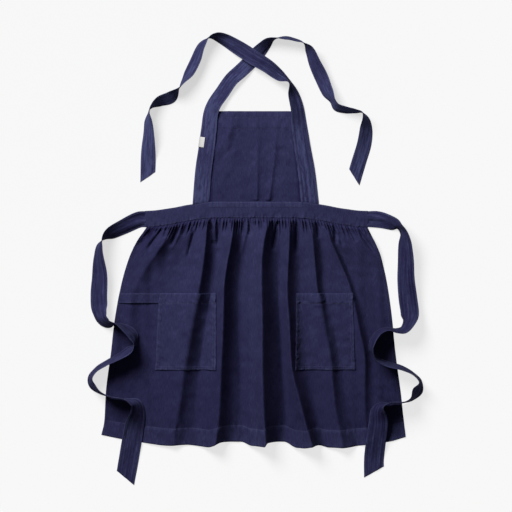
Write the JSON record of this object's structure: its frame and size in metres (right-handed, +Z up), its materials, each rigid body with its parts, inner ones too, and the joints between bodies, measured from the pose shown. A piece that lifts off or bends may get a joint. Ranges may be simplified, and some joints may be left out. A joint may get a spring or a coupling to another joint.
{
  "type": "pinafore apron",
  "caption": "Cloth work apron laid flat: bib with crossed shoulder straps, waistband with long ties, gathered skirt, patch pockets, towel loop and bare side label.",
  "frame": {"origin": "on the surface that the apron lies on, under the middle of its box", "axes": "+Y along the apron from its hem to its bib, +X to the right as seen from above, +Z up from the surface"},
  "size_m": [0.8724, 1.1742, 0.0637],
  "materials": {
    "twill": "matte navy cotton twill",
    "label_tape": "bare white woven tape"
  },
  "bodies": {
    "root": {"waistband": "twill", "bib": "twill", "left_strap": "twill", "right_strap": "twill", "left_waist_tie": "twill", "right_waist_tie": "twill", "skirt": "twill", "left_pocket": "twill", "right_pocket": "twill", "towel_loop": "twill", "label": "label_tape"}
  },
  "joints": []
}
